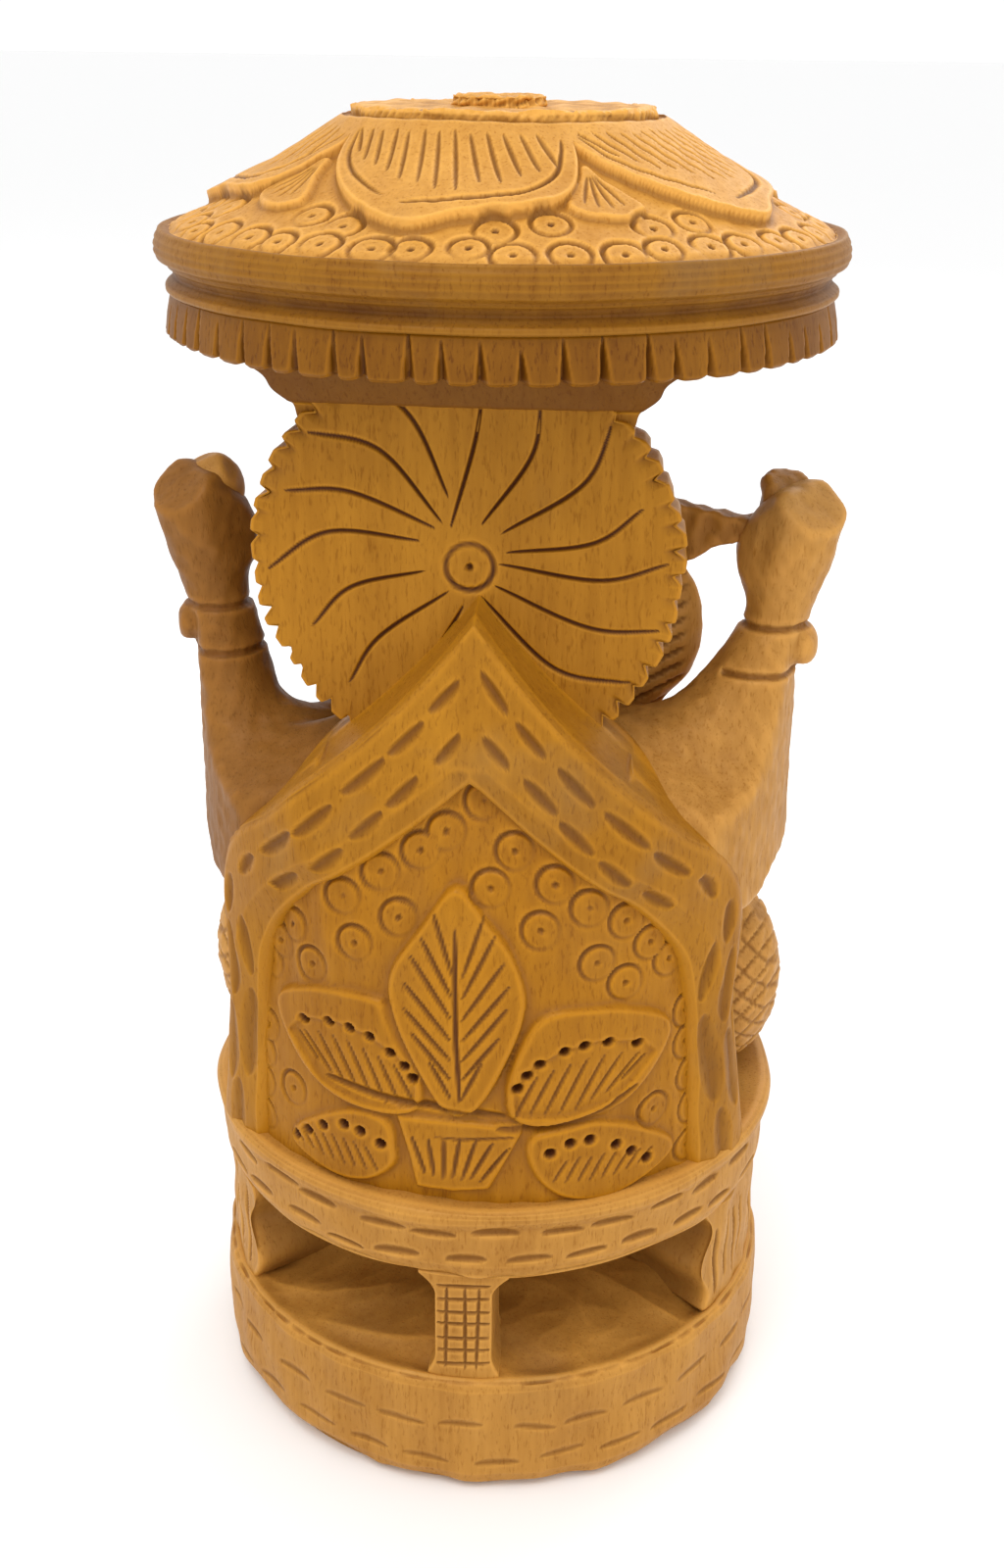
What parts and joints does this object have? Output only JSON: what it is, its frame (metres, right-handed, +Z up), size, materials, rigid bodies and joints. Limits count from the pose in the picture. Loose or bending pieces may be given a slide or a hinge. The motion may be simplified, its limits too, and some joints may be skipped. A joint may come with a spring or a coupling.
{
  "type": "carved wooden figurine",
  "caption": "Carved wooden elephant-headed seated deity under a turned umbrella canopy, with halo, gabled throne back and openwork base.",
  "frame": {"origin": "centre of the base's underside", "axes": "+Z up along the turned axis; the figure faces -Y and the gabled throne back is on the +Y side; +X is the figure's left"},
  "size_m": [0.072, 0.072, 0.1505],
  "materials": {
    "carved_wood": "bare carved and lightly sanded, satin",
    "turned_wood": "bare turned on a lathe, satin"
  },
  "bodies": {
    "root": {"axe": "carved_wood", "base_block": "turned_wood", "base_core": "turned_wood", "canopy_boss": "turned_wood", "canopy_dome": "turned_wood", "canopy_fringe": "turned_wood", "crown": "carved_wood", "front_post": "carved_wood", "halo_disc": "carved_wood", "head": "carved_wood", "left_ear": "carved_wood", "left_front_arm": "carved_wood", "left_leg": "carved_wood", "left_rear_arm": "carved_wood", "left_side_wall": "carved_wood", "left_tusk": "carved_wood", "lotus_bud": "carved_wood", "rear_post": "carved_wood", "right_ear": "carved_wood", "right_front_arm": "carved_wood", "right_leg": "carved_wood", "right_rear_arm": "carved_wood", "right_side_wall": "carved_wood", "right_tusk": "carved_wood", "seat_ring": "turned_wood", "sweet_bowl": "carved_wood", "throne_frame": "carved_wood", "throne_panel": "carved_wood", "torso": "carved_wood", "trunk": "carved_wood"}
  },
  "joints": []
}
